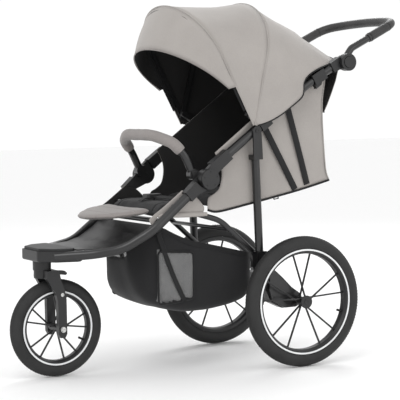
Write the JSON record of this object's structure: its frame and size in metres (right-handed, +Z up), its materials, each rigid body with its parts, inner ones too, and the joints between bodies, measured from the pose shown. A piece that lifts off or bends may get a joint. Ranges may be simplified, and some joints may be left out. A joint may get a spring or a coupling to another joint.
{
  "type": "baby stroller",
  "caption": "Three-wheel baby stroller with lie-flat sling seat, two-bow canopy, bumper bar, basket, swivel front wheel and side folding frame.",
  "frame": {"origin": "on the floor under the middle of the stroller's length and width", "axes": "+Z up, -Y the direction of travel (front wheel), +X the child's left"},
  "size_m": [0.587, 1.3041, 1.1199],
  "materials": {
    "frame_black": "satin",
    "plastic_black": "fine grain",
    "cloth_grey": "woven",
    "cloth_grey_dark": "woven",
    "cloth_black": "woven",
    "webbing_black": "ribbed",
    "tyre_rubber": "matte",
    "reflector": "gloss",
    "grip_leather": "grained",
    "rubber_black": "matte",
    "steel": "brushed"
  },
  "bodies": {
    "front_frame": {"front_side_tube_left": "frame_black", "front_side_tube_right": "frame_black", "nose_platform": "plastic_black", "nose_pad": "rubber_black", "footrest_panel": "plastic_black", "lower_hinge_left": "plastic_black", "lower_hinge_right": "plastic_black", "seat_cross_tube": "frame_black", "seat_cushion": "cloth_black", "seat_skirts": "cloth_grey", "harness_buckle": "plastic_black", "basket": "cloth_black"},
    "steering": {"front_fork": "plastic_black", "steering_pin": "steel", "front_axle": "steel"},
    "swivel_lock": {"swivel_lock_lever": "plastic_black"},
    "front_wheel": {"front_tyre": "tyre_rubber", "front_rim": "plastic_black", "front_reflector": "reflector"},
    "upper_frame": {"upper_tube_left": "frame_black", "upper_tube_right": "frame_black", "upper_hinge_left": "plastic_black", "upper_hinge_right": "plastic_black", "hinge_pins": "plastic_black", "canopy_mounts": "plastic_black", "handle_hub_left": "plastic_black", "handle_hub_right": "plastic_black", "seat_shell": "cloth_grey", "recline_straps": "webbing_black", "canopy_rear_cloth": "cloth_grey"},
    "fold_trigger_left": {"fold_trigger_left": "plastic_black"},
    "fold_trigger_right": {"fold_trigger_right": "plastic_black"},
    "handle_button_left": {"handle_button_left": "plastic_black"},
    "handle_button_right": {"handle_button_right": "plastic_black"},
    "handle": {"handle_tube": "frame_black", "handle_grip": "grip_leather"},
    "rear_frame": {"rear_leg_left": "frame_black", "rear_leg_right": "frame_black", "leg_brackets": "plastic_black", "rear_axle_beam": "frame_black"},
    "brake_pedal": {"brake_pedal": "plastic_black"},
    "rear_wheel_left": {"rear_tyre_left": "tyre_rubber", "rear_rim_left": "plastic_black", "rear_reflector_left": "reflector", "rear_hub_cap_left": "plastic_black"},
    "rear_wheel_right": {"rear_tyre_right": "tyre_rubber", "rear_rim_right": "plastic_black", "rear_reflector_right": "reflector", "rear_hub_cap_right": "plastic_black"},
    "folding_link": {"folding_link": "frame_black"},
    "canopy_rear": {"canopy_rear_bow": "plastic_black", "canopy_front_cloth": "cloth_grey"},
    "canopy_front": {"canopy_front_bow": "plastic_black", "canopy_visor": "cloth_grey"},
    "bumper": {"bumper_bar": "frame_black", "bumper_cover": "cloth_grey_dark"},
    "backrest": {"backrest": "cloth_black", "shoulder_straps": "cloth_black", "recline_adjuster": "plastic_black"},
    "leg_rest": {"leg_rest": "cloth_grey_dark"}
  },
  "joints": [
    {"name": "frame_fold", "type": "hinge", "parent": "front_frame", "child": "upper_frame", "pos_m": [0, -0.0965, 0.583], "axis": [1, 0, 0], "range_deg": [0, 100]},
    {"name": "rear_leg_fold", "type": "hinge", "parent": "upper_frame", "child": "rear_frame", "pos_m": [0, 0.07057, 0.72286], "axis": [1, 0, 0], "range_deg": [-30, 0]},
    {"name": "folding_link_swing", "type": "hinge", "parent": "front_frame", "child": "folding_link", "pos_m": [0, -0.2025, 0.503], "axis": [1, 0, 0], "range_deg": [0, 50]},
    {"name": "front_swivel", "type": "hinge", "parent": "front_frame", "child": "steering", "pos_m": [0, -0.5475, 0.323], "axis": [0, 0, 1], "continuous": true},
    {"name": "swivel_lock", "type": "hinge", "parent": "steering", "child": "swivel_lock", "pos_m": [0, -0.508, 0.313], "axis": [1, 0, 0], "range_deg": [0, 25]},
    {"name": "front_wheel_spin", "type": "hinge", "parent": "steering", "child": "front_wheel", "pos_m": [0, -0.5065, 0.146], "axis": [1, 0, 0], "continuous": true},
    {"name": "rear_wheel_left_spin", "type": "hinge", "parent": "rear_frame", "child": "rear_wheel_left", "pos_m": [0.2685, 0.1975, 0.1995], "axis": [1, 0, 0], "continuous": true},
    {"name": "rear_wheel_right_spin", "type": "hinge", "parent": "rear_frame", "child": "rear_wheel_right", "pos_m": [-0.2685, 0.1975, 0.1995], "axis": [1, 0, 0], "continuous": true},
    {"name": "brake_press", "type": "hinge", "parent": "rear_frame", "child": "brake_pedal", "pos_m": [0, 0.1275, 0.24], "axis": [1, 0, 0], "range_deg": [-18, 0]},
    {"name": "handle_tilt", "type": "hinge", "parent": "upper_frame", "child": "handle", "pos_m": [0, 0.4015, 0.929], "axis": [1, 0, 0], "range_deg": [-70, 30]},
    {"name": "handle_button_left_press", "type": "slide", "parent": "upper_frame", "child": "handle_button_left", "axis": [-1, 0, 0], "range_m": [0, 0.003], "stiffness_N_per_m": 1500},
    {"name": "handle_button_right_press", "type": "slide", "parent": "upper_frame", "child": "handle_button_right", "axis": [1, 0, 0], "range_m": [0, 0.003], "stiffness_N_per_m": 1500},
    {"name": "fold_trigger_left_pull", "type": "slide", "parent": "upper_frame", "child": "fold_trigger_left", "axis": [0, 0.866, 0.5], "range_m": [0, 0.018], "stiffness_N_per_m": 800},
    {"name": "fold_trigger_right_pull", "type": "slide", "parent": "upper_frame", "child": "fold_trigger_right", "axis": [0, 0.866, 0.5], "range_m": [0, 0.018], "stiffness_N_per_m": 800},
    {"name": "canopy_rear_fold", "type": "hinge", "parent": "upper_frame", "child": "canopy_rear", "pos_m": [0, 0.0525, 0.77], "axis": [1, 0, 0], "range_deg": [-40, 0], "deforming": ["canopy_rear_cloth", "canopy_front_cloth", "canopy_visor"]},
    {"name": "canopy_front_fold", "type": "hinge", "parent": "canopy_rear", "child": "canopy_front", "pos_m": [0, 0.0525, 0.77], "axis": [1, 0, 0], "range_deg": [-38, 0], "deforming": ["canopy_front_cloth", "canopy_visor"]},
    {"name": "bumper_tilt", "type": "hinge", "parent": "front_frame", "child": "bumper", "pos_m": [0, -0.1275, 0.597], "axis": [1, 0, 0], "range_deg": [0, 35]},
    {"name": "backrest_recline", "type": "hinge", "parent": "upper_frame", "child": "backrest", "pos_m": [0, -0.0645, 0.494], "axis": [1, 0, 0], "range_deg": [0, 50], "deforming": ["recline_straps"]},
    {"name": "leg_rest_tilt", "type": "hinge", "parent": "front_frame", "child": "leg_rest", "pos_m": [0, -0.2525, 0.49], "axis": [1, 0, 0], "range_deg": [-15, 12]}
  ],
  "couplings": [
    {"joint": "rear_leg_fold", "follows": "frame_fold", "ratio": -0.272},
    {"joint": "folding_link_swing", "follows": "frame_fold", "ratio": 0.473}
  ]
}
